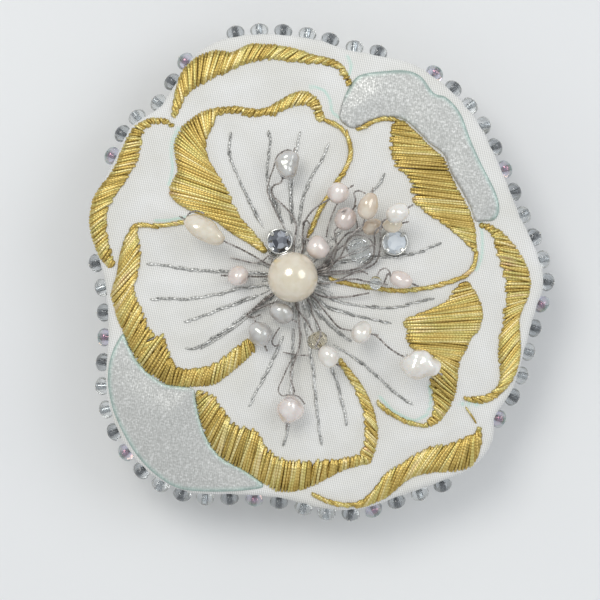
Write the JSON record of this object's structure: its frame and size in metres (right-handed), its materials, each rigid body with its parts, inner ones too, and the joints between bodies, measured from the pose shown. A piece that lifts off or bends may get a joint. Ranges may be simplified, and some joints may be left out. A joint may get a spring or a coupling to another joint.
{
  "type": "flower hair clip",
  "caption": "Padded embroidered fabric flower with gold satin-stitched petals, a glass bead rim and wired pearls, on a sprung alligator hair clip.",
  "frame": {"origin": "middle of the footprint, on the surface that the end of the clip's lever touches", "axes": "+Z is the way the flower faces, +Y points to its top petal, +X to its right petals; the clip lies along X with its mouth at -X"},
  "size_m": [0.0765, 0.0816, 0.0257],
  "materials": {
    "clip_steel": "nickel-plated spring steel strip",
    "spring_steel": "plain spring wire",
    "felt": "ivory felt",
    "card": "stiffening card",
    "wadding": "soft wadding",
    "face_cloth": "fine ivory woven cloth, lightly sheened",
    "silver_cloth": "silver lame, sparkling",
    "gold_thread": "metallic gold embroidery thread",
    "silver_thread": "twisted metallic silver thread",
    "sewing_thread": "polyester sewing thread",
    "bead_clear": "clear seed bead with a silver-lined hole",
    "bead_grey": "smoky seed bead with a dark-lined hole",
    "bead_iris": "seed bead with a faint rainbow coat",
    "nacre_cream": "cream freshwater pearl",
    "nacre_white": "white freshwater pearl",
    "nacre_pink": "blush pink freshwater pearl",
    "nacre_mauve": "mauve freshwater pearl",
    "nacre_peach": "peach freshwater pearl",
    "nacre_grey": "silver-grey keshi pearl",
    "crystal": "clear faceted crystal bead",
    "crystal_champagne": "pale champagne crystal bead",
    "stone_dark": "dark faceted rhinestone",
    "stone_opal": "pale opal rhinestone",
    "setting_metal": "silver-plated cup",
    "craft_wire": "dark grey craft wire"
  },
  "bodies": {
    "flower": {"upper_jaw": "clip_steel", "hinge_pin": "clip_steel", "torsion_spring": "spring_steel", "clip_patch": "felt", "backing": "felt", "stiffener": "card", "padding": "wadding", "face_fabric": "face_cloth", "edge_beads_clear": "bead_clear", "edge_beads_grey": "bead_grey", "edge_beads_iris": "bead_iris", "bead_thread": "sewing_thread", "crystal_upper_right": "crystal", "crystal_lower": "crystal_champagne", "crystal_small_right": "crystal", "stone_dark": "stone_dark", "stone_opal": "stone_opal", "stone_dark_setting": "setting_metal", "stone_opal_setting": "setting_metal", "gold_top_outer": "gold_thread", "gold_left_outer": "gold_thread", "gold_right_outer": "gold_thread", "gold_lower_outer": "gold_thread", "gold_top_inner": "gold_thread", "gold_right_inner": "gold_thread", "gold_lower_right_inner": "gold_thread", "gold_bottom_inner": "gold_thread", "gold_left_inner": "gold_thread", "veins_top": "silver_thread", "veins_right": "silver_thread", "veins_lower_right": "silver_thread", "veins_bottom": "silver_thread", "veins_left": "silver_thread", "silver_patch_upper": "silver_cloth", "silver_patch_lower": "silver_cloth", "pearl_grey_top": "nacre_grey", "pearl_cream_left": "nacre_cream", "pearl_pink_left": "nacre_pink", "pearl_blush_middle": "nacre_pink", "pearl_silver_upper": "nacre_grey", "pearl_silver_lower": "nacre_grey", "pearl_rose_cluster": "nacre_pink", "pearl_mauve_cluster": "nacre_mauve", "pearl_peach_cluster": "nacre_peach", "pearl_shade_cluster": "nacre_peach", "pearl_lemon_cluster": "nacre_cream", "pearl_ivory_cluster": "nacre_white", "pearl_pink_right": "nacre_pink", "pearl_chalk_right": "nacre_white", "pearl_white_lower": "nacre_white", "pearl_white_baroque": "nacre_white", "pearl_cream_bottom": "nacre_cream", "centre_pearl": "nacre_cream", "wires_top": "craft_wire", "wires_upper_right": "craft_wire", "wires_right": "craft_wire", "wires_lower": "craft_wire", "wires_left": "craft_wire"},
    "lower_jaw": {"lower_jaw": "clip_steel"}
  },
  "joints": [
    {"name": "jaw_hinge", "type": "hinge", "parent": "flower", "child": "lower_jaw", "pos_m": [0.012, 0, 0.00881], "axis": [0, -1, 0], "range_deg": [0, 28], "stiffness_Nm_per_rad": 0.05, "springref_deg": -34.38, "deforming": ["torsion_spring"]}
  ]
}
